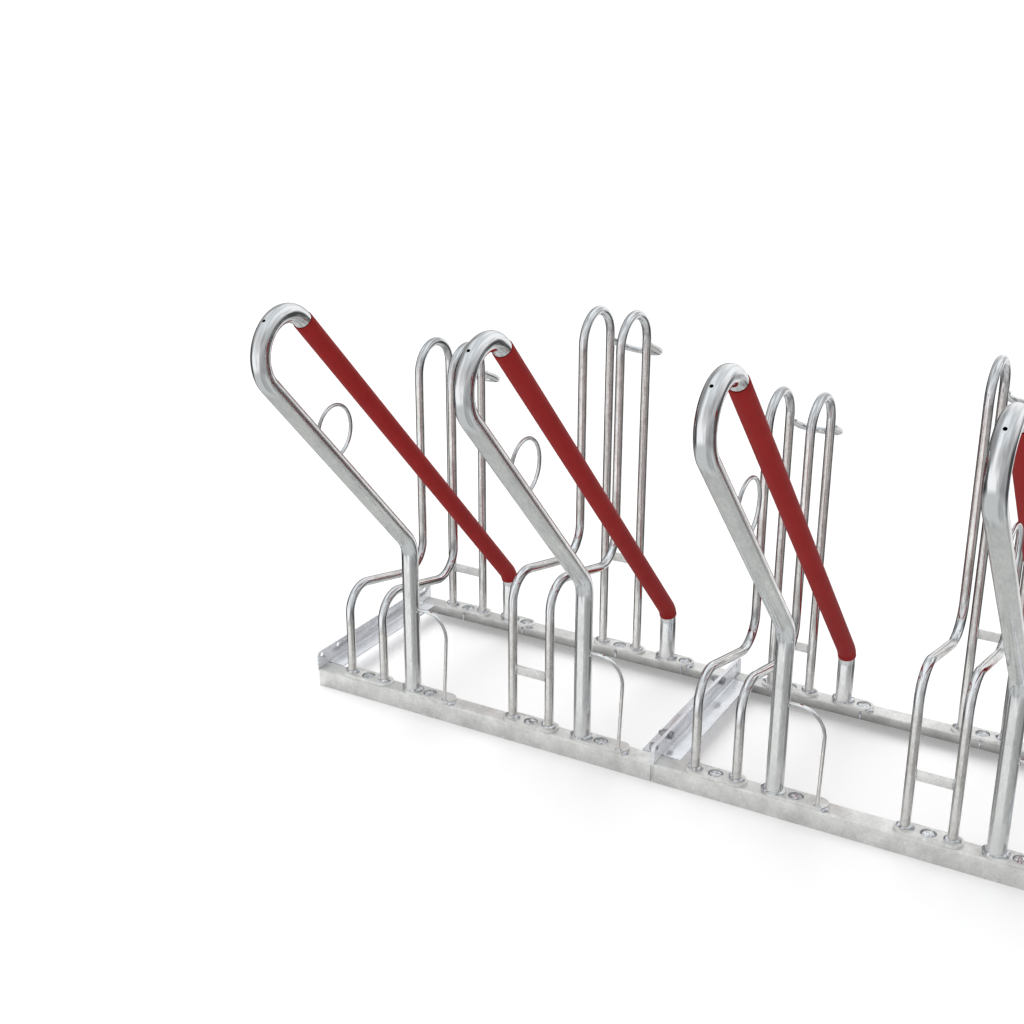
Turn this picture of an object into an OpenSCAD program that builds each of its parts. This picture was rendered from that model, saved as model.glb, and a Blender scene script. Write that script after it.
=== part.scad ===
// Bicycle rack for four bikes: two welded modules of two places each, bolted end to end.
// Places alternate low and high, so that the handlebars of neighbouring bikes pass each other.
// Everything is hot-dip galvanised steel, except the red sleeves on the leaning loops.
// Lengths are in millimetres. X runs along the row, +Y points from the approach side to
// the wheel side and +Z is up. The origin is on the floor, in the middle of the row.

/* [Row] */
// Distance between neighbouring places
place_pitch = 350; // [320:5:500]
// Depth of the base over both rails
base_depth = 390; // [370:5:480]
// Distance from a module's left end to its first wheel frame
first_frame_x = 70; // [50:1:80]
// Distance between the two wheel frames of a place
frame_gap = 73; // [66:1:90]
// Distance from the left wheel frame of a place to its leaning loop
lean_x = 138; // [130:1:170]
// How much higher the high places hold the wheel
level_step = 100; // [40:5:140]

/* [Folded rails] */
// Width of a rail
rail_w = 35; // [32:1:45]
// Height of a rail
rail_h = 35; // [30:1:50]
// Sheet thickness of a rail
rail_t = 3; // [2:0.5:4]
// Inner radius of the folds
rail_fold_r = 1; // [0.5:0.5:3]
// Height of the inner lip, measured down from the rail's top
rail_lip_h = 17.5; // [10:0.5:25]

/* [Cross angles] */
// Leg length of the angle bars that tie the rails together
angle_leg = 35; // [30:1:50]
// Thickness of the angle bars
angle_t = 3; // [2.5:0.5:5]
// Radius in the root of the angle bars
angle_root_r = 4; // [2:0.5:6]
// Radius of the upright leg's top corners
angle_corner_r = 8; // [4:1:12]
// Distance of the bolt holes from the top edge of the upright leg
hole_from_top = 7; // [6:0.5:10]
// Distance of the front spare hole from the front end
front_spare_hole_in = 12; // [9:1:20]
// Distance of the front bolt from the front end
front_bolt_in = 63; // [50:1:90]
// Distance of the rear bolt from the rear end
rear_bolt_in = 96; // [60:1:120]
// Distance of the rear spare hole from the rear end
rear_spare_hole_in = 24; // [9:1:32]

/* [Bolts between the modules] */
// Thread diameter
bolt_d = 8; // [6:1:10]
// Width of a hole over the thread diameter
bolt_clearance = 1; // [0.5:0.1:2]
// Length of the shank under the head
bolt_len = 20; // [20:1:35]
// Width across the flats of heads and nuts
hex_af = 13; // [13:0.5:16]
// Height of a bolt head
head_h = 5.3; // [4:0.1:7]
// Height of a nut
nut_h = 6.5; // [5:0.1:8]
// Outer diameter of a washer
washer_d = 16; // [15:0.5:20]
// Thickness of a washer
washer_t = 1.6; // [1:0.1:2.5]

/* [Foot plates] */
// Thickness of a foot plate
plate_t = 5; // [3:0.5:8]
// Distance between the end centres of a front plate under a leaning loop
lean_plate_len = 73; // [66:1:90]
// Distance between the end centres of a rear plate under a leaning loop
rear_plate_len = 38; // [36:1:60]
// Diameter of the plug weld hole in a plate
plug_hole_d = 25; // [18:1:28]
// Depth of the plug weld's rim under the plate's top
plug_recess = 1.5; // [0.5:0.1:2]
// Depth of the dish in the plug weld
plug_dish = 0.8; // [0.2:0.1:0.9]

/* [Wheel frames] */
// Outer diameter of the tube
frame_tube_d = 16; // [14:0.5:20]
// Wall thickness of the tube
frame_wall = 1.5; // [1:0.25:2.5]
// Height of the front knee's corner at a low place
front_knee_z = 216; // [195:1:260]
// Bend radius of the front knee
front_knee_r = 46; // [35:1:55]
// Height of the rear end of the sloping wheel rest at a low place
rest_end_z = 160; // [130:1:185]
// Bend radius where the wheel rest turns upwards
rest_end_r = 51; // [40:1:60]
// Width of the upright hairpin, between its leg centres
hairpin_w = 107.5; // [90:0.5:130]
// Height of the hairpin's top centre line at a low place
hairpin_z = 612; // [540:1:700]

/* [Wheel stops and straps] */
// Diameter of the round rod of the wheel stop
stop_rod_d = 12; // [10:0.5:14]
// Distance from the rear leg to the stop's far end, along the stop
stop_reach = 92.5; // [70:0.5:120]
// Angle by which the stop points down to the rear
stop_drop = 24; // [10:1:30]
// Distance from the start of the hairpin bend down to the stop
stop_below_bend = 9; // [9:0.5:60]
// Height of the flat straps between the two frames of a place
strap_h = 17; // [12:1:25]
// Thickness of the flat straps
strap_t = 4; // [3:0.5:6]
// Height of the rear strap's middle at a low place
rear_strap_z = 124; // [80:1:180]
// Height of the front strap's middle, at high places only
front_strap_z = 134; // [80:1:170]

/* [Leaning loops] */
// Outer diameter of the tube
lean_tube_d = 30; // [26:1:34]
// Wall thickness of the tube
lean_wall = 2; // [1.5:0.25:3]
// Height of the front knee's corner
lean_knee_z = 327.5; // [280:0.5:380]
// Slope of the front arm
lean_slope = 46.6; // [42:0.1:50]
// Length of the front arm, from its corner to the top bend
lean_arm = 515; // [440:1:560]
// Radius of the top bend
lean_top_r = 59.5; // [54:0.5:75]
// Height of the rear knee's corner
lean_rear_z = 135; // [110:1:180]
// Radius of the front and rear knees
lean_knee_r = 55; // [40:1:70]
// Diameter of the vent hole in the top bend
vent_d = 5.5; // [5:0.5:10]
// Direction of the vent hole, seen from the bend's centre
vent_angle = 129; // [100:1:150]

/* [Sleeves] */
// Wall thickness of the sleeve on the rear arm
sleeve_t = 0.9; // [0.6:0.1:2]
// Clearance between the sleeve and the tube, on each side
sleeve_gap = 0.35; // [0.35:0.05:0.6]
// Angle that the sleeve reaches into the rear knee
sleeve_bend = 26; // [5:1:36]

/* [Locking wires] */
// Diameter of the round wire of the rings and brackets
wire_d = 6; // [5:0.5:8]
// Radius of a ring's centre line
ring_r = 43; // [36:1:48]
// Distance of the ring's centre from the tube's surface
ring_out = 19; // [15:1:22]
// Distance of the ring from the front knee's corner, along the arm
ring_along = 329; // [250:1:400]
// Height at which a bracket leaves the front post
bracket_z = 201.5; // [160:0.5:250]
// Bend radius of a bracket
bracket_r = 46; // [30:1:52]
// Distance of the bracket's foot past the plate's end centre
bracket_foot_out = 3; // [0:0.5:5]
// Distance of the bracket's foot from the plate's front edge
bracket_edge = 5; // [4.5:0.5:12]

/* [Hidden] */

$fn = 64;
zinc = "#c6c9cb";
red = "#8c2a2c";

places = 4;
places_per_module = 2;
module_w = places_per_module * place_pitch;
half_depth = base_depth / 2;
foot_y = half_depth - rail_w / 2;
foot_z = rail_h + plate_t;
past = 1;

// Place 1 is at the left. Every second place is a high one.
function frame_x(place) =
    first_frame_x - module_w + (place - 1) * place_pitch;
function rise(place) = place % 2 == 0 ? level_step : 0;

// A bend comes out a little thicker than the straight bar, by this share. The straights
// reach into the bends by this length.
bend_swell = 1.02;
bend_seat = 0.2;

// Plane geometry of the bent bars. A bar is given by its straights, the turns between
// them and the radii of those turns. A turn is positive to the left.
function unit(a, b) = (b - a) / norm(b - a);
function heading(a, b) = atan2(b[1] - a[1], b[0] - a[0]);
function direction(angle) = [cos(angle), sin(angle)];
function cut_back(radius, angle) = radius * tan(angle / 2);

// Wheel frame: up the front leg, down the sloping rest, up, over the hairpin and down
hairpin_r = hairpin_w / 2;
rest_end_y = foot_y - hairpin_w;
rest_start = [-foot_y, front_knee_z];
rest_end = [rest_end_y, rest_end_z];
rest_turn = 90 - heading(rest_start, rest_end);
front_cut = cut_back(front_knee_r, rest_turn);
rest_cut = cut_back(rest_end_r, rest_turn);
frame_turns = [-rest_turn, rest_turn, -180];
frame_radii = [front_knee_r, rest_end_r, hairpin_r];
function frame_lengths(up) = [
    front_knee_z + up - foot_z - front_cut,
    norm(rest_end - rest_start) - front_cut - rest_cut,
    hairpin_z - hairpin_r - rest_end_z - rest_cut,
    hairpin_z + up - hairpin_r - foot_z
];
function stop_z(up) = hairpin_z + up - hairpin_r - stop_below_bend;

// The leaning loop rises from the front post, leans out over the approach side, turns back
// in one bend and runs straight down to the rear post. The rear arm is the tangent from
// that bend to the rear knee's corner.
arm_heading = 180 - lean_slope;
lean_knee = [-foot_y, lean_knee_z];
lean_rear_knee = [foot_y, lean_rear_z];
arm_end = lean_knee + lean_arm * direction(arm_heading);
top_centre = arm_end + lean_top_r * direction(arm_heading - 90);
top_end_angle = heading(top_centre, lean_rear_knee)
    + acos(lean_top_r / norm(lean_rear_knee - top_centre));
rear_arm_start = top_centre + lean_top_r * direction(top_end_angle);
rear_arm_heading = top_end_angle - 90;
knee_turn = arm_heading - 90;
rear_knee_turn = rear_arm_heading + 90;
knee_cut = cut_back(lean_knee_r, knee_turn);
rear_knee_cut = cut_back(lean_knee_r, rear_knee_turn);
rear_arm = norm(lean_rear_knee - rear_arm_start) - rear_knee_cut;
lean_turns = [knee_turn, rear_arm_heading - arm_heading, -rear_knee_turn];
lean_radii = [lean_knee_r, lean_top_r, lean_knee_r];
lean_lengths = [
    lean_knee_z - foot_z - knee_cut,
    lean_arm - knee_cut,
    rear_arm,
    lean_rear_z - foot_z - rear_knee_cut
];

// The ring's centre lies inside the loop, and its ends reach the arm's centre line.
ring_offset = lean_tube_d / 2 + ring_out;
ring_centre = lean_knee + ring_along * direction(arm_heading)
    + ring_offset * direction(arm_heading - 90);
ring_open = acos(ring_offset / ring_r);

// The bracket's plane leans, so that its foot stands near the plate's front edge.
bracket_reach = lean_plate_len + bracket_foot_out;
bracket_tilt = atan2(rail_w / 2 - bracket_edge, bracket_z - foot_z);

// The upright leg of an angle stands on the level of its own flat leg, flush with the rails.
angle_z = rail_h - angle_t;
hole_z = angle_z + angle_leg - hole_from_top;
hole_d = bolt_d + bolt_clearance;
front_spare_y = -half_depth + front_spare_hole_in;
front_bolt_y = -half_depth + front_bolt_in;
rear_bolt_y = half_depth - rear_bolt_in;
rear_spare_y = half_depth - rear_spare_hole_in;

// Turns a shape drawn as depth and height, extruded upwards, to stand across the row.
module across_row(x) {
    translate([x, 0, 0])
        rotate([90, 0, 90])
            children();
}

// Round bar bent in one plane, drawn from its start along the first axis. Each piece is
// placed from the end of the one before it. The bar runs past both ends by the given
// length.
module bent_bar(lengths, turns, radii, d, past_ends = 0, i = 0) {
    last = i == len(turns);
    before = i == 0 ? past_ends : bend_seat;
    after = last ? past_ends : bend_seat;
    if (lengths[i] > 0 || past_ends > 0)
        translate([-before, 0, 0])
            rotate([0, 90, 0])
                cylinder(d = d, h = before + lengths[i] + after);
    if (!last) {
        side = sign(turns[i]);
        translate([lengths[i], 0, 0]) {
            mirror([0, side > 0 ? 0 : 1, 0])
                translate([0, radii[i], 0])
                    rotate([0, 0, -90])
                        rotate_extrude(angle = abs(turns[i]))
                            translate([radii[i], 0])
                                circle(d = d * bend_swell);
            translate([0, side * radii[i], 0])
                rotate([0, 0, turns[i]])
                    translate([0, -side * radii[i], 0])
                        bent_bar(lengths, turns, radii, d, past_ends, i + 1);
        }
    }
}

module bent_tube(lengths, turns, radii, d, wall) {
    difference() {
        bent_bar(lengths, turns, radii, d);
        bent_bar(lengths, turns, radii, d - 2 * wall, past);
    }
}

// Starts a bar at a point of the plane, in a direction.
module from_point(point, angle) {
    translate(point)
        rotate([0, 0, angle])
            children();
}

// Rectangle with two round top corners, standing on the first axis
module arch(w, h, r) {
    square([w, h - r]);
    translate([r, 0])
        square([w - 2 * r, h]);
    translate([r, h - r])
        circle(r = r);
    translate([w - r, h - r])
        circle(r = r);
}

// Folded rail: a full outer flange, the top, and a short inner lip
module rail_profile() {
    difference() {
        arch(rail_w, rail_h, rail_fold_r + rail_t);
        translate([rail_t, -past])
            arch(rail_w - 2 * rail_t, rail_h - rail_t + past, rail_fold_r);
        translate([rail_w - rail_t - past, -past])
            square([rail_t + 2 * past, rail_h - rail_lip_h + past]);
    }
}

module front_rail(module_x) {
    color(zinc)
        across_row(module_x + angle_t)
            translate([-half_depth, 0, 0])
                linear_extrude(module_w - 2 * angle_t)
                    rail_profile();
}

module rear_rail(module_x) {
    mirror([0, 1, 0])
        front_rail(module_x);
}

// Outline of the upright leg, with its row of holes
module angle_upright_outline() {
    difference() {
        translate([-half_depth, angle_z])
            arch(base_depth, angle_leg, angle_corner_r);
        for (y = [front_spare_y, front_bolt_y, rear_bolt_y, rear_spare_y])
            translate([y, hole_z])
                circle(d = hole_d);
    }
}

// Angle bar across the end of a module. Its flat leg fits between the rails, and its
// upright leg runs on past them and closes their ends.
module cross_angle_shape() {
    flat_len = base_depth - 2 * rail_w;
    across_row(0)
        linear_extrude(angle_t)
            angle_upright_outline();
    translate([0, -flat_len / 2, angle_z])
        cube([angle_leg, flat_len, angle_t]);
    translate([angle_t, 0, rail_h])
        rotate([90, 0, 0])
            linear_extrude(flat_len, center = true)
                difference() {
                    square(angle_root_r);
                    translate([angle_root_r, angle_root_r])
                        circle(r = angle_root_r);
                }
}

module cross_angle(end_x, inward) {
    color(zinc)
        translate([end_x, 0, 0])
            mirror([inward > 0 ? 0 : 1, 0, 0])
                cross_angle_shape();
}

// Places children along +X at a hole of the joint between the modules.
module at_hole(x, y) {
    translate([x, y, hole_z])
        rotate([0, 90, 0])
            children();
}

module hexagon(h) {
    rotate([0, 0, 30])
        cylinder(d = hex_af / cos(30), h = h, $fn = 6);
}

// Hexagon bolts, with their heads on the right module
module joint_bolts() {
    color(zinc)
        for (y = [front_bolt_y, rear_bolt_y]) {
            at_hole(angle_t, y)
                hexagon(head_h);
            at_hole(angle_t - bolt_len, y)
                cylinder(d = bolt_d, h = bolt_len);
        }
}

module joint_washers() {
    color(zinc)
        for (y = [front_bolt_y, rear_bolt_y])
            at_hole(-angle_t - washer_t, y)
                difference() {
                    cylinder(d = washer_d, h = washer_t);
                    translate([0, 0, -past])
                        cylinder(d = bolt_d, h = washer_t + 2 * past);
                }
}

// Nuts on the two bolts, and a nut welded behind the front spare hole
module joint_nuts() {
    seats = [
        [-angle_t - washer_t, front_bolt_y],
        [-angle_t - washer_t, rear_bolt_y],
        [-angle_t, front_spare_y]
    ];
    color(zinc)
        for (seat = seats)
            at_hole(seat[0] - nut_h, seat[1])
                difference() {
                    hexagon(nut_h);
                    translate([0, 0, -past])
                        cylinder(d = bolt_d, h = nut_h + 2 * past);
                }
}

// Obround plate on a rail, with the hole of the plug weld that holds it
module foot_plate(length, hole_at) {
    linear_extrude(plate_t)
        difference() {
            union() {
                translate([0, -rail_w / 2])
                    square([length, rail_w]);
                circle(d = rail_w);
                translate([length, 0])
                    circle(d = rail_w);
            }
            translate([hole_at, 0])
                circle(d = plug_hole_d);
        }
}

module wheel_plates(place) {
    color(zinc)
        for (y = [-foot_y, foot_y])
            translate([frame_x(place), y, rail_h])
                foot_plate(frame_gap, frame_gap / 2);
}

// The rear plate is short, with its plug weld at the right end
module lean_plates(place) {
    color(zinc)
        translate([frame_x(place) + lean_x, 0, rail_h]) {
            translate([0, -foot_y])
                foot_plate(lean_plate_len, lean_plate_len / 2);
            translate([0, foot_y])
                foot_plate(rear_plate_len, rear_plate_len);
        }
}

// Dished metal that fills a plate's hole and joins the plate to the rail
module plug_weld() {
    rim_r = plug_hole_d / 2;
    dish_r = (rim_r * rim_r + plug_dish * plug_dish) / (2 * plug_dish);
    fill = plate_t - plug_recess;
    difference() {
        cylinder(r = rim_r, h = fill);
        translate([0, 0, fill - plug_dish + dish_r])
            sphere(r = dish_r, $fn = 256);
    }
}

module plug_welds() {
    holes = [
        [frame_gap / 2, -foot_y], [frame_gap / 2, foot_y],
        [lean_x + lean_plate_len / 2, -foot_y], [lean_x + rear_plate_len, foot_y]
    ];
    color(zinc)
        for (place = [1:places], hole = holes)
            translate([frame_x(place) + hole[0], hole[1], rail_h])
                plug_weld();
}

// One bent tube: front leg, sloping wheel rest, upright hairpin and rear leg
module wheel_frame(place, offset) {
    color(zinc)
        across_row(frame_x(place) + offset)
            from_point([-foot_y, foot_z], 90)
                bent_tube(frame_lengths(rise(place)), frame_turns, frame_radii,
                    frame_tube_d, frame_wall);
}

// The two round legs of a place at the front or the rear, as space that a bar is fitted to
module leg_space(place, y) {
    top = hairpin_z + level_step;
    for (x = [0, frame_gap])
        translate([frame_x(place) + x, y, foot_z])
            cylinder(d = frame_tube_d, h = top);
}

// Round rod that stops the wheel, bent to a half circle behind the two rear legs
module wheel_stop(place) {
    r = frame_gap / 2;
    arm = stop_reach - r;
    color(zinc)
        difference() {
            translate([frame_x(place), foot_y, stop_z(rise(place))])
                rotate([-stop_drop, 0, 0])
                    rotate([0, 0, 90])
                        bent_bar([arm, arm], [-180], [r], stop_rod_d);
            leg_space(place, foot_y);
        }
}

module strap(place, y, z) {
    color(zinc)
        difference() {
            translate([frame_x(place), y - strap_t / 2, z - strap_h / 2])
                cube([frame_gap, strap_t, strap_h]);
            leg_space(place, y);
        }
}

module rear_strap(place) {
    strap(place, foot_y, rear_strap_z + rise(place));
}

module front_strap(place) {
    strap(place, -foot_y, front_strap_z);
}

// Bent tube that the bicycle leans on, with a vent hole near its highest point
module lean_loop(place) {
    color(zinc)
        across_row(frame_x(place) + lean_x)
            difference() {
                from_point([-foot_y, foot_z], 90)
                    bent_tube(lean_lengths, lean_turns, lean_radii, lean_tube_d, lean_wall);
                translate(top_centre + lean_top_r * direction(vent_angle))
                    rotate([0, 90, vent_angle])
                        cylinder(d = vent_d, h = lean_tube_d);
            }
}

// Sleeve on the rear arm, from the top bend into the rear knee
module sleeve(place) {
    color(red)
        across_row(frame_x(place) + lean_x)
            from_point(rear_arm_start, rear_arm_heading)
                bent_tube([rear_arm, 0], [-sleeve_bend], [lean_knee_r],
                    lean_tube_d + 2 * (sleeve_gap + sleeve_t), sleeve_t);
}

// Ring for a lock, welded to the inner side of the front arm
module lock_ring(place) {
    color(zinc)
        across_row(frame_x(place) + lean_x)
            difference() {
                translate(ring_centre)
                    rotate([0, 0, arm_heading + 90 + ring_open])
                        rotate_extrude(angle = 360 - 2 * ring_open)
                            translate([ring_r, 0])
                                circle(d = wire_d);
                translate(lean_knee)
                    rotate([0, 90, arm_heading])
                        cylinder(d = lean_tube_d, h = lean_arm);
            }
}

// Bracket for a lock: out from the front post, round a bend and down to the plate
module lock_bracket(place) {
    post_x = frame_x(place) + lean_x;
    color(zinc)
        difference() {
            translate([post_x, -foot_y, bracket_z])
                rotate([90 - bracket_tilt, 0, 0])
                    bent_bar([bracket_reach - bracket_r, bracket_z - bracket_r], [-90],
                        [bracket_r], wire_d);
            translate([post_x, -foot_y, foot_z])
                cylinder(d = lean_tube_d, h = bracket_z);
            translate([post_x, -foot_y - rail_w, foot_z - bracket_z])
                cube([bracket_reach + rail_w, 2 * rail_w, bracket_z]);
        }
}

front_rail(-module_w);  // front_rail_left
front_rail(0);  // front_rail_right
rear_rail(-module_w);  // rear_rail_left
rear_rail(0);  // rear_rail_right

cross_angle(-module_w, 1);  // cross_angle_left_end
cross_angle(0, -1);  // cross_angle_left_joint
cross_angle(0, 1);  // cross_angle_right_joint
cross_angle(module_w, -1);  // cross_angle_right_end

joint_bolts();
joint_washers();
joint_nuts();

wheel_plates(1);  // wheel_plates_1
wheel_plates(2);  // wheel_plates_2
wheel_plates(3);  // wheel_plates_3
wheel_plates(4);  // wheel_plates_4
lean_plates(1);  // lean_plates_1
lean_plates(2);  // lean_plates_2
lean_plates(3);  // lean_plates_3
lean_plates(4);  // lean_plates_4
plug_welds();

wheel_frame(1, 0);  // wheel_frame_left_1
wheel_frame(1, frame_gap);  // wheel_frame_right_1
wheel_frame(2, 0);  // wheel_frame_left_2
wheel_frame(2, frame_gap);  // wheel_frame_right_2
wheel_frame(3, 0);  // wheel_frame_left_3
wheel_frame(3, frame_gap);  // wheel_frame_right_3
wheel_frame(4, 0);  // wheel_frame_left_4
wheel_frame(4, frame_gap);  // wheel_frame_right_4

wheel_stop(1);  // wheel_stop_1
wheel_stop(2);  // wheel_stop_2
wheel_stop(3);  // wheel_stop_3
wheel_stop(4);  // wheel_stop_4
rear_strap(1);  // rear_strap_1
rear_strap(2);  // rear_strap_2
rear_strap(3);  // rear_strap_3
rear_strap(4);  // rear_strap_4
front_strap(2);  // front_strap_2
front_strap(4);  // front_strap_4

lean_loop(1);  // lean_loop_1
lean_loop(2);  // lean_loop_2
lean_loop(3);  // lean_loop_3
lean_loop(4);  // lean_loop_4
sleeve(1);  // sleeve_1
sleeve(2);  // sleeve_2
sleeve(3);  // sleeve_3
sleeve(4);  // sleeve_4
lock_ring(1);  // lock_ring_1
lock_ring(2);  // lock_ring_2
lock_ring(3);  // lock_ring_3
lock_ring(4);  // lock_ring_4
lock_bracket(1);  // lock_bracket_1
lock_bracket(2);  // lock_bracket_2
lock_bracket(3);  // lock_bracket_3
lock_bracket(4);  // lock_bracket_4
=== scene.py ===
from math import acos, atan2, copysign, cos, pi, radians, sin, tan

import bmesh
import bpy
from mathutils import Matrix, Vector, noise


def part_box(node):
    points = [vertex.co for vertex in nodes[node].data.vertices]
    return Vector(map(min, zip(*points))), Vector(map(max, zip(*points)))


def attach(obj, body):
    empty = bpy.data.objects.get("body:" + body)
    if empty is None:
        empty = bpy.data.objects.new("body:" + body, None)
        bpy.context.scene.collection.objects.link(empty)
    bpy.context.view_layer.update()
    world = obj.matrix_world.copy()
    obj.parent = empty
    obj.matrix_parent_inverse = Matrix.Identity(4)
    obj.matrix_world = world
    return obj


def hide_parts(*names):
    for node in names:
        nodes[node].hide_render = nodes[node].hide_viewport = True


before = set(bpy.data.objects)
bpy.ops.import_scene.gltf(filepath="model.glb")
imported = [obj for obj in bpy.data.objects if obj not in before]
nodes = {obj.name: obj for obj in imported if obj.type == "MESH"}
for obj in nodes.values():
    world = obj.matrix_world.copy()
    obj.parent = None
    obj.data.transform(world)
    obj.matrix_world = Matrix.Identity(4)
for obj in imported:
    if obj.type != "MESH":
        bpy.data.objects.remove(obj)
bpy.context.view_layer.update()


# Rails: sheet steel folded to a channel that is open below, one at the front and one at the
# rear of each module. The sheet is cut to length and hot-dip galvanised, which leaves a
# cloudy grey coat and softens the cut edges.
mm = 0.001
scene = bpy.context.scene


def wire(tree, node, inputs):
    for name, value in inputs.items():
        if isinstance(value, bpy.types.NodeSocket):
            tree.links.new(value, node.inputs[name])
        else:
            node.inputs[name].default_value = value


def add_node(tree, kind, inputs=None, **settings):
    node = tree.nodes.new(kind)
    for name, value in settings.items():
        setattr(node, name, value)
    wire(tree, node, inputs or {})
    return node


def spread(tree, value, low, high, to_low=0, to_high=1, curve="LINEAR"):
    limits = {"From Min": low, "From Max": high, "To Min": to_low, "To Max": to_high}
    ranged = add_node(tree, "ShaderNodeMapRange", {"Value": value, **limits},
                      interpolation_type=curve)
    return ranged.outputs["Result"]


def reckon(tree, operation, *values, clamp=False):
    worked = add_node(tree, "ShaderNodeMath", dict(enumerate(values)), operation=operation,
                      use_clamp=clamp)
    return worked.outputs["Value"]


def blend(tree, factor, low, high, kind="RGBA"):
    mix = add_node(tree, "ShaderNodeMix", {"Factor": factor, "A": low, "B": high}, data_type=kind)
    return mix.outputs["Result"]


def zinc_coat_group():
    group = bpy.data.node_groups.new("Zinc coat", "ShaderNodeTree")
    for name, kind in (("Position", "Vector"), ("Light zinc", "Color"), ("Dark zinc", "Color"),
                       ("Cloud scale", "Float"), ("Smooth roughness", "Float"),
                       ("Dull roughness", "Float")):
        group.interface.new_socket(name, in_out="INPUT", socket_type="NodeSocket" + kind)
    for name, kind in (("Color", "Color"), ("Roughness", "Float"), ("Height", "Float")):
        group.interface.new_socket(name, in_out="OUTPUT", socket_type="NodeSocket" + kind)
    given = add_node(group, "NodeGroupInput").outputs
    where = given["Position"]
    clouds = add_node(group, "ShaderNodeTexNoise", {
        "Vector": where, "Scale": given["Cloud scale"], "Detail": 5, "Roughness": 0.62})
    spangle = add_node(group, "ShaderNodeTexVoronoi", {"Vector": where, "Scale": 300})
    crystal = add_node(group, "ShaderNodeSeparateColor", {"Color": spangle.outputs["Color"]})
    specks = add_node(group, "ShaderNodeTexNoise", {"Vector": where, "Scale": 230, "Detail": 2})
    drops = add_node(group, "ShaderNodeTexVoronoi", {"Vector": where, "Scale": 55})
    grains = add_node(group, "ShaderNodeTexNoise", {"Vector": where, "Scale": 420, "Detail": 3})

    cloudy = spread(group, clouds.outputs["Fac"], 0.30, 0.70)
    grainy = reckon(group, "ADD", spread(group, crystal.outputs["Red"], 0, 1, -0.07, 0.07),
                    spread(group, specks.outputs["Fac"], 0.36, 0.64, -0.13, 0.10))
    bright_drops = spread(group, drops.outputs["Distance"], 0.02, 0.24, 0.45, 0)
    tone = reckon(group, "ADD", reckon(group, "ADD", cloudy, grainy), bright_drops, clamp=True)
    add_node(group, "NodeGroupOutput", {
        "Color": blend(group, tone, given["Dark zinc"], given["Light zinc"]),
        "Roughness": blend(group, tone, given["Dull roughness"], given["Smooth roughness"],
                           "FLOAT"),
        "Height": reckon(group, "MULTIPLY_ADD", grains.outputs["Fac"], 0.25,
                         clouds.outputs["Fac"])})
    return group


zinc_coat = zinc_coat_group()


def galvanised(name, light, dark, cloud_scale, smooth, dull, bump, metallic=1):
    mat = bpy.data.materials.new(name)
    mat.use_nodes = True
    tree = mat.node_tree
    place = add_node(tree, "ShaderNodeTexCoord", name="Place")
    coat = add_node(tree, "ShaderNodeGroup", {
        "Position": place.outputs["Object"], "Light zinc": (*light, 1), "Dark zinc": (*dark, 1),
        "Cloud scale": cloud_scale, "Smooth roughness": smooth, "Dull roughness": dull,
    }, node_tree=zinc_coat, name="Coat")
    relief = add_node(tree, "ShaderNodeBump", {
        "Strength": bump, "Distance": 1 * mm, "Height": coat.outputs["Height"]}, name="Relief")
    wire(tree, tree.nodes["Principled BSDF"], {
        "Metallic": metallic, "Base Color": coat.outputs["Color"],
        "Roughness": coat.outputs["Roughness"], "Normal": relief.outputs["Normal"]})
    return mat


def add_piece(name, bm, material, slot, *stands_for, smooth_below=35):
    mesh = bpy.data.meshes.new(name)
    bm.to_mesh(mesh)
    bm.free()
    mesh.materials.append(material)
    mesh.shade_smooth()
    mesh.set_sharp_from_angle(angle=radians(smooth_below))
    piece = bpy.data.objects.new(name, mesh)
    scene.collection.objects.link(piece)
    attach(piece, "root")
    if stands_for:
        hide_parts(*stands_for)
    return piece


# A piece in its exact shape, with its sharp edges rounded as the zinc leaves them.
def soft_edged(node, radius, material, slot, above=0):
    bm = bmesh.new()
    bm.from_mesh(nodes[node].data)
    bmesh.ops.remove_doubles(bm, verts=bm.verts[:], dist=1e-6)
    bmesh.ops.dissolve_limit(bm, angle_limit=radians(0.5), verts=bm.verts[:],
                             edges=bm.edges[:])
    edges = [e for e in bm.edges if len(e.link_faces) == 2
             and e.calc_face_angle(0) > radians(40)
             and min(v.co.z for v in e.verts) >= above]
    bmesh.ops.bevel(bm, geom=edges, offset=radius, offset_type="OFFSET", segments=2,
                    profile=0.5, affect="EDGES", material=-1, clamp_overlap=True)
    return add_piece(node + "_edges", bm, material, slot, node)


sheet_zinc = galvanised("Galvanised sheet", light=(0.92, 0.93, 0.91), dark=(0.66, 0.66, 0.64),
                        cloud_scale=26, smooth=0.28, dull=0.48, bump=0.3, metallic=0.65)
sheet_edge = 0.5 * mm
rail_top = 35 * mm
lip_bottom, lip_face, lip_bend = 17 * mm, 160 * mm, 161.8 * mm

# Painted shade: the inner lips face the shadowed floor under the rails, so their colour is
# darkened towards their lower edge.
rail_zinc = sheet_zinc.copy()
rail_zinc.name = "Galvanised rail"
tree = rail_zinc.node_tree
at = add_node(tree, "ShaderNodeSeparateXYZ",
              {"Vector": tree.nodes["Place"].outputs["Object"]}).outputs
on_lip = spread(tree, reckon(tree, "ABSOLUTE", at["Y"]), lip_face, lip_bend, 1, 0)
shade_towards_floor = spread(tree, at["Z"], lip_bottom, rail_top, 0.72, 0.25)
# Painted shade, not dirt: the lip's colour is blended towards near black lower down.
painted_lip_shade = blend(tree, reckon(tree, "MULTIPLY", on_lip, shade_towards_floor),
                  tree.nodes["Coat"].outputs["Color"], (0.12, 0.12, 0.115, 1))
wire(tree, tree.nodes["Principled BSDF"], {"Base Color": painted_lip_shade})
for rail in ("front_rail_left", "front_rail_right", "rear_rail_left", "rear_rail_right"):
    soft_edged(rail, sheet_edge, rail_zinc, "galvanised_sheet")
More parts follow.
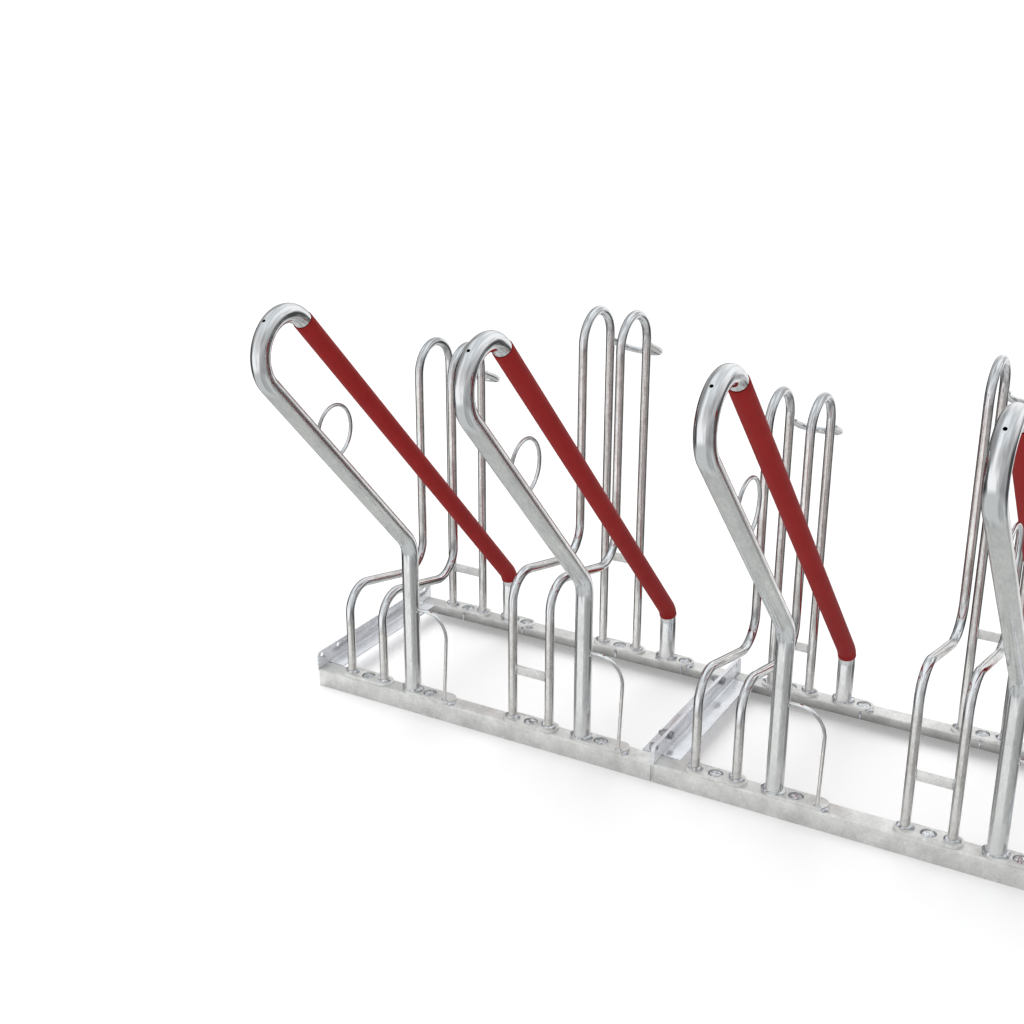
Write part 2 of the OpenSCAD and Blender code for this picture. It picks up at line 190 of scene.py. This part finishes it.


# Cross angles: rolled angle bars that tie the rails together at both ends of each module.
# Their upright legs close the rails' ends and carry the bolt holes. Their zinc is made lighter and
# bluer than the rails' as a painted reflection of the pale blue sky on their faces.
angle_zinc = galvanised("Galvanised angle", light=(0.94, 0.96, 0.99), dark=(0.74, 0.76, 0.80),
                        cloud_scale=18, smooth=0.16, dull=0.30, bump=0.15, metallic=0.6)
for angle in ("left_end", "left_joint", "right_joint", "right_end"):
    soft_edged("cross_angle_" + angle, sheet_edge, angle_zinc, "galvanised_sheet")


# Bolts, washers and nuts: zinc-plated steel. Two bolts clamp the middle angles together, and
# a third nut is welded behind the front spare hole.
fastener_zinc = galvanised("Zinc-plated fastener", light=(0.48, 0.49, 0.51),
                           dark=(0.24, 0.25, 0.27), cloud_scale=160, smooth=0.26, dull=0.40,
                           bump=0.1)
fastener_edge = 0.4 * mm
for part in ("joint_bolts", "joint_washers", "joint_nuts"):
    soft_edged(part, fastener_edge, fastener_zinc, "zinc_fasteners")


# Foot plates: obround plates cut from 5 mm sheet, which spread the load of the tubes on the
# rails. Their sides stand flush with the rails, and the zinc runs over both.
places = (1, 2, 3, 4)
foot_z = rail_top + 5 * mm
plate_edge = 0.6 * mm
for place in places:
    for kind in ("wheel_plates", "lean_plates"):
        soft_edged(f"{kind}_{place}", plate_edge, sheet_zinc, "galvanised_sheet",
                   above=foot_z - 1 * mm)


# Plug welds: the metal that was run into each plate's hole, where it joined the plate to the
# rail. It set as a shiny lumpy pool that shrank away from the hole's edge.
foot_y = 177.5 * mm
frame_gap = 73 * mm
front_plate, rear_plate = 73 * mm, 38 * mm
frame_x = {place: (-630 + 350 * (place - 1)) * mm for place in places}
lean_x = {place: frame_x[place] + 138 * mm for place in places}
plug_r = 12.5 * mm
pool_steps = (0.8, 0.9, 1.0, 1.2, 1.3, 1.4, 1.5, 1.5, 1.4)
pool_rim, pool_rise, pool_lumps = 0.4 * mm, 2.9 * mm, 1.5 * mm
weld_metal = galvanised("Weld metal", light=(0.90, 0.93, 0.96), dark=(0.34, 0.34, 0.36),
                        cloud_scale=150, smooth=0.14, dull=0.26, bump=0.12)


def join(bm, other):
    mesh = bpy.data.meshes.new("joined")
    other.to_mesh(mesh)
    other.free()
    bm.from_mesh(mesh)
    bpy.data.meshes.remove(mesh)


def plug_pool(x, y, seed):
    centre = Vector((x, y, rail_top))
    pool = bmesh.new()
    bmesh.ops.create_circle(pool, cap_ends=True, segments=40, radius=plug_r,
                            matrix=Matrix.Translation(centre))
    middle = pool.faces[:]
    for step in pool_steps:
        bmesh.ops.inset_individual(pool, faces=middle, thickness=step * mm, depth=0)
    for v in pool.verts:
        flat = v.co - centre
        lump = noise.noise(flat * 120 + Vector((seed * 7.1, seed * 3.7, 0)))
        inside = min(1, max(0, (0.97 - flat.length / plug_r) / 0.12))
        v.co.z += pool_rim + (pool_rise + pool_lumps * lump) * inside
    return pool


bm = bmesh.new()
seed = 0
for place in places:
    middle = frame_x[place] + frame_gap / 2
    for x, y in ((middle, -foot_y), (middle, foot_y), (lean_x[place] + front_plate / 2, -foot_y),
                 (lean_x[place] + rear_plate, foot_y)):
        seed += 1
        join(bm, plug_pool(x, y, seed))
add_piece("plug_weld_pools", bm, weld_metal, "weld_metal", "plug_welds", smooth_below=60)


# Wheel frames: one 16 mm tube each, bent to a front leg, a sloping rest, an upright hairpin
# and a rear leg. The straights keep a cloudy drawn finish, and the bends, which the bending
# tool has polished, shine and show streaks along the tube.
def tube_zinc(name, light, dark, cloud_scale, smooth, dull, streak):
    mat = galvanised(name, light, dark, cloud_scale, smooth, dull, bump=0.15)
    tree = mat.node_tree
    coat = tree.nodes["Coat"]
    unrolled = add_node(tree, "ShaderNodeAttribute", attribute_name="unrolled").outputs["Vector"]
    bend = add_node(tree, "ShaderNodeAttribute", attribute_name="bend").outputs["Fac"]
    drawn = add_node(tree, "ShaderNodeMapping", {"Vector": unrolled, "Scale": (1, 1, 0.4)})
    wire(tree, coat, {"Position": drawn.outputs["Vector"]})
    stretched = add_node(tree, "ShaderNodeMapping", {"Vector": unrolled, "Scale": (170, 170, 22)})
    streaks = add_node(tree, "ShaderNodeTexNoise", {
        "Vector": stretched.outputs["Vector"], "Scale": 1, "Detail": 2}).outputs["Fac"]
    polished = blend(tree, spread(tree, streaks, 0.37, 0.55), (*streak, 1), (0.86, 0.88, 0.90, 1))
    dents = add_node(tree, "ShaderNodeBump", {
        "Strength": reckon(tree, "MULTIPLY", bend, 0.35), "Distance": 1.2 * mm,
        "Height": streaks, "Normal": tree.nodes["Relief"].outputs["Normal"]})
    wire(tree, tree.nodes["Principled BSDF"], {
        "Base Color": blend(tree, bend, coat.outputs["Color"], polished),
        "Roughness": blend(tree, bend, coat.outputs["Roughness"], 0.08, "FLOAT"),
        "Normal": dents.outputs["Normal"]})
    return mat


tube_metal = tube_zinc("Galvanised tube", light=(0.90, 0.90, 0.89), dark=(0.56, 0.54, 0.52),
                       cloud_scale=34, smooth=0.10, dull=0.20, streak=(0.36, 0.36, 0.37))


# A round bar, grown ring by ring along its straights and bends. Two attributes follow it for
# the zinc: the place on the straightened bar, and how far the bending tool polished it.
def bent_bar(lengths, turns, radii, diameter, matrix, around=32, ends="closed"):
    bm = bmesh.new()
    unrolled = bm.verts.layers.float_vector.new("unrolled")
    bend = bm.verts.layers.float.new("bend")
    bmesh.ops.create_circle(bm, segments=around, radius=diameter / 2,
                            matrix=Matrix.Rotation(pi / 2, 4, "Y"))
    for v in bm.verts:
        v[unrolled] = (v.co.y, v.co.z, 0)
    edges = bm.edges[:]
    at, facing, run = Vector((0, 0, 0)), 0.0, 0.0
    polish_fade, bend_step = 22 * mm, radians(5)

    def grow(step, polish):
        nonlocal edges, run
        out = bmesh.ops.extrude_edge_only(bm, edges=edges)["geom"]
        new = [g for g in out if isinstance(g, bmesh.types.BMVert)]
        ring = set(new)
        edges = list(dict.fromkeys(e for v in new for e in v.link_edges
                                   if e.other_vert(v) in ring))
        run += step
        for v in new:
            v[unrolled] = (v[unrolled].x, v[unrolled].y, run)
            v[bend] = polish
        return new

    for i, length in enumerate(lengths):
        ahead = Vector((cos(facing), sin(facing), 0))
        fade = min(polish_fade, length / 3)
        if length > 0:
            marks = ((fade, 0.0), (length - 2 * fade, 0.0), (fade, 1.0 if i < len(turns) else 0.0))
            for step, polish in marks:
                bmesh.ops.translate(bm, verts=grow(step, polish), vec=ahead * step)
        at = at + ahead * length
        if i < len(turns):
            turn, radius = turns[i], radii[i]
            pivot = at + Vector((-sin(facing), cos(facing), 0)) * copysign(radius, turn)
            count = max(2, round(abs(turn) / bend_step))
            for _ in range(count):
                new = grow(radius * abs(turn) / count, 1.0)
                bmesh.ops.rotate(bm, verts=new, cent=pivot,
                                 matrix=Matrix.Rotation(turn / count, 3, "Z"))
            at = pivot + Matrix.Rotation(turn, 3, "Z") @ (at - pivot)
            facing += turn
    if ends == "closed":
        bmesh.ops.holes_fill(bm, edges=bm.edges[:], sides=0)
    bmesh.ops.recalc_face_normals(bm, faces=bm.faces[:])
    bmesh.ops.transform(bm, matrix=matrix, verts=bm.verts[:])
    return bm


# Stands a bar's flat bend upright, across the row.
def across_row(x, y, z, heading):
    plane = Matrix(((0, 0, 1, x), (1, 0, 0, y), (0, 1, 0, z), (0, 0, 0, 1)))
    return plane @ Matrix.Rotation(heading, 4, "Z")


frame_d = 16 * mm
hairpin_top, hairpin_r = 612 * mm, 53.75 * mm
front_leg_top, rest_low = 216 * mm, 160 * mm
front_knee_r, rest_end_r = 46 * mm, 51 * mm
rise = {place: 100 * mm if place % 2 == 0 else 0 for place in places}
rest_start = Vector((-foot_y, front_leg_top))
rest_end = Vector((foot_y - 2 * hairpin_r, rest_low))
rest_slope = rest_end - rest_start
rest_turn = pi / 2 - atan2(rest_slope.y, rest_slope.x)
front_cut = front_knee_r * tan(rest_turn / 2)
rest_cut = rest_end_r * tan(rest_turn / 2)
for place in places:
    lengths = (front_leg_top + rise[place] - foot_z - front_cut,
               rest_slope.length - front_cut - rest_cut,
               hairpin_top - hairpin_r - rest_low - rest_cut,
               hairpin_top + rise[place] - hairpin_r - foot_z)
    for side, x in (("left", frame_x[place]), ("right", frame_x[place] + frame_gap)):
        node = f"wheel_frame_{side}_{place}"
        bm = bent_bar(lengths, (-rest_turn, rest_turn, -pi), (front_knee_r, rest_end_r, hairpin_r),
                      frame_d, across_row(x, -foot_y, foot_z, pi / 2))
        add_piece(node + "_tube", bm, tube_metal, "galvanised_tube", node, smooth_below=50)


# Wheel stops: a 12 mm rod bent to a half circle and welded behind the two rear legs of each
# place. It closes the place at the rear and points a little down.
stop_d, stop_r, stop_reach = 12 * mm, frame_gap / 2, 92.5 * mm
stop_arm = stop_reach - stop_r
stop_fall = radians(24)
stop_z = {place: hairpin_top + rise[place] - hairpin_r - 9 * mm for place in places}
for place in places:
    matrix = (Matrix.Translation((frame_x[place], foot_y, stop_z[place]))
              @ Matrix.Rotation(-stop_fall, 4, "X") @ Matrix.Rotation(pi / 2, 4, "Z"))
    bm = bent_bar((stop_arm, stop_arm), (-pi,), (stop_r,), stop_d, matrix, around=24)
    add_piece(f"wheel_stop_{place}_rod", bm, tube_metal, "galvanised_wire",
              f"wheel_stop_{place}", smooth_below=50)


# Straps: short flat bars welded between the two frames of a place, at the rear of every place
# and at the front of the high ones.
for strap in ("rear_strap_1", "rear_strap_2", "rear_strap_3", "rear_strap_4",
              "front_strap_2", "front_strap_4"):
    soft_edged(strap, sheet_edge, sheet_zinc, "galvanised_sheet")


# Leaning loops: one 30 mm tube each, bent out over the approach side and back. A hole near
# the top lets the molten zinc run out of the tube.
lean_metal = tube_zinc("Galvanised leaning tube", light=(0.90, 0.91, 0.90),
                       dark=(0.66, 0.67, 0.67), cloud_scale=20, smooth=0.10, dull=0.21,
                       streak=(0.58, 0.59, 0.60))
lean_d, lean_wall = 30 * mm, 2 * mm
lean_top_r, lean_knee_r = 59.5 * mm, 55 * mm
front_arm, arm_heading = 515 * mm, pi - radians(46.6)
vent_r, vent_at = 2.75 * mm, radians(129)
vent_way = Vector((cos(vent_at), sin(vent_at)))
arm_way = Vector((cos(arm_heading), sin(arm_heading)))
arm_side = Vector((sin(arm_heading), -cos(arm_heading)))
front_knee = Vector((-foot_y, 327.5 * mm))
rear_knee = Vector((foot_y, 135 * mm))
top_centre = front_knee + front_arm * arm_way + lean_top_r * arm_side
reach = rear_knee - top_centre
top_end = atan2(reach.y, reach.x) + acos(lean_top_r / reach.length)
rear_arm_start = top_centre + lean_top_r * Vector((cos(top_end), sin(top_end)))
rear_heading = top_end - pi / 2
knee_turn = arm_heading - pi / 2
rear_turn = rear_heading + pi / 2
knee_cut = lean_knee_r * tan(knee_turn / 2)
rear_cut = lean_knee_r * tan(rear_turn / 2)
rear_arm = (rear_knee - rear_arm_start).length - rear_cut
lean_lengths = (front_knee.y - foot_z - knee_cut, front_arm - knee_cut, rear_arm,
                rear_knee.y - foot_z - rear_cut)
lean_turns = (knee_turn, rear_heading - arm_heading, -rear_turn)


def lean_bar(place, diameter, around):
    return bent_bar(lean_lengths, lean_turns, (lean_knee_r, lean_top_r, lean_knee_r), diameter,
                    across_row(lean_x[place], -foot_y, foot_z, pi / 2), around)


def drill_vent(loop, place):
    vent = top_centre + lean_top_r * vent_way
    out = Vector((0, vent_way.x, vent_way.y)).to_track_quat("Z", "X").to_matrix().to_4x4()
    turned = Matrix.Translation((lean_x[place], vent.x, vent.y)) @ out
    bm = bmesh.new()
    bmesh.ops.create_cone(bm, cap_ends=True, segments=32, radius1=vent_r, radius2=vent_r,
                          depth=24 * mm, matrix=turned @ Matrix.Translation((0, 0, 14 * mm)))
    mesh = bpy.data.meshes.new("drill")
    bm.to_mesh(mesh)
    bm.free()
    drill = bpy.data.objects.new("drill", mesh)
    scene.collection.objects.link(drill)
    cut = loop.modifiers.new("vent hole", "BOOLEAN")
    cut.operation, cut.object, cut.solver = "DIFFERENCE", drill, "EXACT"
    bpy.context.view_layer.update()
    drilled = bpy.data.meshes.new_from_object(
        loop.evaluated_get(bpy.context.evaluated_depsgraph_get()))
    loop.modifiers.clear()
    loop.data = drilled
    bpy.data.objects.remove(drill)


for place in places:
    bm = lean_bar(place, lean_d, around=48)
    bore = lean_bar(place, lean_d - 2 * lean_wall, around=24)
    bmesh.ops.reverse_faces(bore, faces=bore.faces[:])
    join(bm, bore)
    loop = add_piece(f"lean_loop_{place}_tube", bm, lean_metal, "galvanised_tube",
                     f"lean_loop_{place}", smooth_below=50)
    drill_vent(loop, place)


# Sleeves: thin red plastic hose pushed over the rear arm of each loop, as a soft guard
# against scratches. It reaches from the top bend into the rear knee.
red_plastic = bpy.data.materials.new("Red sleeve plastic")
red_plastic.use_nodes = True
tree = red_plastic.node_tree
place_on = add_node(tree, "ShaderNodeTexCoord").outputs["Object"]
fade = add_node(tree, "ShaderNodeTexNoise", {"Vector": place_on, "Scale": 26, "Detail": 4})
grain = add_node(tree, "ShaderNodeTexNoise", {"Vector": place_on, "Scale": 900})
skin = add_node(tree, "ShaderNodeBump", {
    "Strength": 0.12, "Distance": 0.5 * mm, "Height": grain.outputs["Fac"]})
wire(tree, tree.nodes["Principled BSDF"], {
    "Base Color": blend(tree, fade.outputs["Fac"], (0.29, 0.015, 0.015, 1),
                        (0.37, 0.022, 0.021, 1)),
    "Roughness": 0.55, "Specular IOR Level": 0.1, "Normal": skin.outputs["Normal"]})
sleeve_d, sleeve_wall = lean_d + 2.5 * mm, 1.15 * mm
sleeve_bend = radians(26)
rim_edge = 0.4 * mm
for place in places:
    bm = bent_bar((rear_arm, 0), (-sleeve_bend,), (lean_knee_r,), sleeve_d,
                  across_row(lean_x[place], rear_arm_start.x, rear_arm_start.y, rear_heading),
                  around=48, ends="open")
    bmesh.ops.solidify(bm, geom=bm.faces[:], thickness=sleeve_wall)
    bmesh.ops.recalc_face_normals(bm, faces=bm.faces[:])
    rim = [e for e in bm.edges if e.calc_face_angle(0) > radians(60)]
    bmesh.ops.bevel(bm, geom=rim, offset=rim_edge, segments=2, profile=0.5, affect="EDGES",
                    material=-1)
    add_piece(f"sleeve_{place}_hose", bm, red_plastic, "red_sleeve", f"sleeve_{place}",
              smooth_below=50)


# Lock rings: 6 mm galvanised wire bent to an open ring. Both of its ends are welded to the
# inner side of the front arm of a leaning loop.
wire_d = 6 * mm
ring_r = 43 * mm
ring_offset = lean_d / 2 + 19 * mm
ring_up_arm = 329 * mm
ring_centre = front_knee + ring_up_arm * arm_way + ring_offset * arm_side
ring_open = acos(ring_offset / ring_r)
ring_start = arm_heading + pi / 2 + ring_open
ring_end = ring_start + 2 * pi - 2 * ring_open


def ring_point(angle):
    return ring_centre + ring_r * Vector((cos(angle), sin(angle)))


for place in places:
    start = ring_point(ring_start)
    bm = bent_bar((0, 0), (ring_end - ring_start,), (ring_r,), wire_d,
                  across_row(lean_x[place], start.x, start.y, ring_start + pi / 2), around=16)
    add_piece(f"lock_ring_{place}_wire", bm, tube_metal, "galvanised_wire",
              f"lock_ring_{place}", smooth_below=50)


# Lock brackets: the same wire, welded to the right of each front post. It is bent down in a
# wide curve and welded to the foot plate.
bracket_z, bracket_r, bracket_reach = 201.5 * mm, 46 * mm, 76 * mm
bracket_forward = 12.5 * mm
bracket_tilt = atan2(bracket_forward, bracket_z - foot_z)
for place in places:
    matrix = (Matrix.Translation((lean_x[place], -foot_y, bracket_z))
              @ Matrix.Rotation(pi / 2 - bracket_tilt, 4, "X"))
    drop = (bracket_z - foot_z) / cos(bracket_tilt) - bracket_r
    bm = bent_bar((bracket_reach - bracket_r, drop), (-pi / 2,), (bracket_r,), wire_d,
                  matrix, around=16)
    add_piece(f"lock_bracket_{place}_wire", bm, tube_metal, "galvanised_wire",
              f"lock_bracket_{place}", smooth_below=50)


# Weld beads: weld metal round every foot, thickest at the left and right of the tube, and
# short beads at the straps, stops, rings and brackets. Below the rear plug welds a drop has
# run down the rail.
def lumpy(co, core, seed, swell):
    lump = noise.noise(co * 170 + Vector((seed * 5.3, seed * 2.9, 0)))
    return core + (co - core) * (1 + swell * lump)


def foot_bead(x, y, tube_r, thick, seed):
    bead = bmesh.new()
    start = Matrix.Translation((tube_r, 0, 0)) @ Matrix.Rotation(pi / 2, 4, "X")
    bmesh.ops.create_circle(bead, segments=14, radius=thick, matrix=start)
    bmesh.ops.spin(bead, geom=bead.verts[:] + bead.edges[:], cent=(0, 0, 0), axis=(0, 0, 1),
                   angle=2 * pi, steps=56, use_merge=True)
    bmesh.ops.remove_doubles(bead, verts=bead.verts[:], dist=1e-6)
    centre = Vector((x, y, foot_z))
    for v in bead.verts:
        core = Vector((v.co.x, v.co.y, 0)).normalized() * tube_r
        side = (core.x / tube_r) ** 2
        out = (v.co - core) * (0.34 + 0.70 * side ** 3)
        out.z *= 1.5 - 0.5 * side
        v.co = lumpy(centre + core + out, centre + core, seed, 0.6)
    return bead


def short_bead(start, end, thick, seed):
    bead = bmesh.new()
    bmesh.ops.create_uvsphere(bead, u_segments=14, v_segments=10, radius=thick)
    way, middle = end - start, (start + end) / 2
    turn = way.to_track_quat("Z", "Y").to_matrix()
    for v in bead.verts:
        stretch = 0 if abs(v.co.z) < thick * 0.2 else copysign(way.length / 2, v.co.z)
        v.co = lumpy(turn @ (v.co + Vector((0, 0, stretch))) + middle, middle, seed, 0.25)
    return bead


foot_weld, bracket_weld, top_weld = 6 * mm, 3 * mm, 2 * mm
ring_weld, strap_weld, stop_weld = 2.6 * mm, 1.8 * mm, 3 * mm
drop_r, drop_low, drop_high = 2.4 * mm, rail_top - 14 * mm, rail_top - 2 * mm
corner_weld, plate_corner = 4.2 * mm, Vector((15.5 * mm, -12.5 * mm, 0))
rail_face = foot_y - 17.5 * mm
bm = bmesh.new()
seed = 0
for place in places:
    for x, tube_r in ((frame_x[place], frame_d / 2), (frame_x[place] + frame_gap, frame_d / 2),
                      (lean_x[place], lean_d / 2)):
        for y in (-foot_y, foot_y):
            seed += 1
            join(bm, foot_bead(x, y, tube_r, foot_weld, seed))
    seed += 1
    join(bm, foot_bead(lean_x[place] + bracket_reach, -foot_y - bracket_forward, wire_d / 2,
                       bracket_weld, seed))
    top = Vector((lean_x[place] + lean_d / 2, -foot_y, bracket_z - 3 * mm))
    along = Vector((0, 4 * mm, 0))
    join(bm, short_bead(top - along, top + along, top_weld, seed))
    for angle, ring_seed in ((ring_start, seed - 1), (ring_end, seed + 1)):
        end = ring_point(angle) + arm_side * 1 * mm
        end = Vector((lean_x[place], end.x, end.y))
        along = Vector((0, arm_way.x, arm_way.y)) * 4 * mm
        join(bm, short_bead(end - along, end + along, ring_weld, ring_seed))
    for strap in ("rear_strap", "front_strap"):
        if f"{strap}_{place}" in nodes:
            low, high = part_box(f"{strap}_{place}")
            for x in (low.x, high.x):
                for y in (low.y, high.y):
                    seed += 1
                    join(bm, short_bead(Vector((x, y, low.z + 2 * mm)),
                                        Vector((x, y, high.z - 2 * mm)), strap_weld, seed))
    for x in (frame_x[place], frame_x[place] + frame_gap):
        seed += 1
        stop = Vector((x, foot_y + frame_d / 2, stop_z[place] - 3 * mm))
        across = Vector((stop_d / 2, 0, 0))
        join(bm, short_bead(stop - across, stop + across, stop_weld, seed))
    for x in (frame_x[place] + frame_gap / 2, lean_x[place] + rear_plate):
        seed += 1
        join(bm, short_bead(Vector((x, rail_face, drop_low)), Vector((x, rail_face, drop_high)),
                            drop_r, seed))
    for x, y in ((lean_x[place] + front_plate, -foot_y), (lean_x[place] + rear_plate, foot_y)):
        seed += 1
        corner = Vector((x, y, rail_top + 1 * mm)) + plate_corner
        aslant = Vector((2 * mm, 2 * mm, 0))
        join(bm, short_bead(corner - aslant, corner + aslant, corner_weld, seed))
bmesh.ops.recalc_face_normals(bm, faces=bm.faces[:])
add_piece("weld_beads", bm, weld_metal, "weld_metal", smooth_below=80)


# Studio: a white floor that runs out of sight, even soft light from above and two wide soft
# lamps. The metal mirrors a pale studio that is brightest at the front left.
floor_size = 120
floor_lift, floor_seen = 0.21, (0.10, 0.22)
floor_white = bpy.data.materials.new("Floor")
floor_white.use_nodes = True
tree = floor_white.node_tree
ray = add_node(tree, "ShaderNodeLightPath").outputs
matt = tree.nodes["Principled BSDF"]
wire(tree, matt, {"Base Color": (0.92, 0.92, 0.92, 1), "Roughness": 1, "Specular IOR Level": 0})
lift = add_node(tree, "ShaderNodeEmission",
                {"Strength": reckon(tree, "MULTIPLY", ray["Is Camera Ray"], floor_lift)})
lifted = add_node(tree, "ShaderNodeAddShader",
                  {0: matt.outputs["BSDF"], 1: lift.outputs["Emission"]})
# Metal close to the floor mirrors it, and metal further up mirrors the studio instead.
far_mirror = reckon(tree, "MULTIPLY", ray["Is Glossy Ray"],
                    spread(tree, ray["Ray Length"], *floor_seen))
seen = add_node(tree, "ShaderNodeMixShader", {
    "Fac": far_mirror, 1: lifted.outputs["Shader"],
    2: add_node(tree, "ShaderNodeBsdfTransparent").outputs["BSDF"]})
wire(tree, tree.nodes["Material Output"], {"Surface": seen.outputs["Shader"]})
bm = bmesh.new()
bmesh.ops.create_grid(bm, x_segments=2, y_segments=2, size=floor_size / 2)
floor_mesh = bpy.data.meshes.new("floor")
bm.to_mesh(floor_mesh)
bm.free()
floor_mesh.materials.append(floor_white)
floor = bpy.data.objects.new("floor", floor_mesh)
scene.collection.objects.link(floor)

world = bpy.data.worlds.new("Studio")
scene.world = world
world.use_nodes = True
tree = world.node_tree
ray = add_node(tree, "ShaderNodeLightPath").outputs
at = add_node(tree, "ShaderNodeSeparateXYZ", {
    "Vector": add_node(tree, "ShaderNodeTexCoord").outputs["Generated"]}).outputs
azimuth = spread(tree, reckon(tree, "ARCTAN2", at["Y"], at["X"]), -pi, pi)


def around_studio(steps):
    ramp = add_node(tree, "ShaderNodeValToRGB", {"Fac": azimuth})
    ramp.color_ramp.interpolation = "EASE"
    stops = ramp.color_ramp.elements
    stops[0].color = (*[steps[0][1]] * 3, 1)
    stops[1].color = (*[steps[-1][1]] * 3, 1)
    for degrees, grey in steps[1:-1]:
        stops.new((degrees + 180) / 360).color = (grey, grey, grey, 1)
    return ramp.outputs["Color"]


def background(colour, strength):
    return add_node(tree, "ShaderNodeBackground",
                    {"Color": (*colour, 1) if isinstance(colour, tuple) else colour,
                     "Strength": strength}).outputs["Background"]


def shader_for(rays, shown, otherwise):
    return add_node(tree, "ShaderNodeMixShader",
                    {"Fac": ray[rays], 1: otherwise, 2: shown}).outputs["Shader"]


# Each pair is a direction round the rack in degrees and how bright the studio is there.
low_air = around_studio((
    (-180, 0.06), (-162, 0.12), (-148, 1.0), (-74, 1.0), (-58, 0.50), (-20, 0.36), (10, 0.36),
    (22, 0.08), (58, 0.08), (70, 0.9), (102, 0.9), (114, 0.06), (180, 0.06)))
mid_air = around_studio((
    (-180, 0.42), (-155, 0.55), (-125, 1.0), (-85, 0.85), (-45, 0.55), (10, 0.55), (60, 1.0),
    (100, 1.0), (140, 0.42), (180, 0.42)))
level = blend(tree, spread(tree, at["Z"], -0.10, 0.30, curve="SMOOTHSTEP"), low_air, mid_air)
below = blend(tree, spread(tree, at["Z"], -0.62, -0.40, 1, 0, curve="SMOOTHSTEP"), level,
              (0.58, 0.59, 0.58, 1))
mirrored = blend(tree, spread(tree, at["Z"], 0.50, 0.92, curve="SMOOTHSTEP"), below,
                 (0.94, 0.98, 1, 1))
air = shader_for("Is Glossy Ray", background(mirrored, 1), background((0.98, 0.99, 1), 0.52))
studio = shader_for("Is Camera Ray", background((1, 1, 1), 1), air)
wire(tree, tree.nodes["World Output"], {"Surface": studio})


def soft_sun(name, azimuth, elevation, angle, power):
    lamp = bpy.data.lights.new(name, "SUN")
    lamp.angle, lamp.energy = radians(angle), power
    holder = bpy.data.objects.new(name, lamp)
    a, e = radians(azimuth), radians(elevation)
    way_in = Vector((cos(a) * cos(e), sin(a) * cos(e), sin(e)))
    holder.rotation_euler = way_in.to_track_quat("Z", "Y").to_euler()
    holder.visible_glossy = False
    scene.collection.objects.link(holder)


soft_sun("overhead", azimuth=140, elevation=60, angle=60, power=1.65)
soft_sun("front", azimuth=-110, elevation=30, angle=60, power=0.35)

camera = bpy.data.objects.new("camera", bpy.data.cameras.new("camera"))
camera.location = (0.84387, -2.11638, 1.27102)
camera.rotation_euler = (radians(69.36), 0, radians(30.14))
camera.data.lens = 50.10
camera.data.sensor_width = 36
camera.data.clip_end = 100
scene.collection.objects.link(camera)
scene.camera = camera
scene.view_settings.view_transform = "Standard"
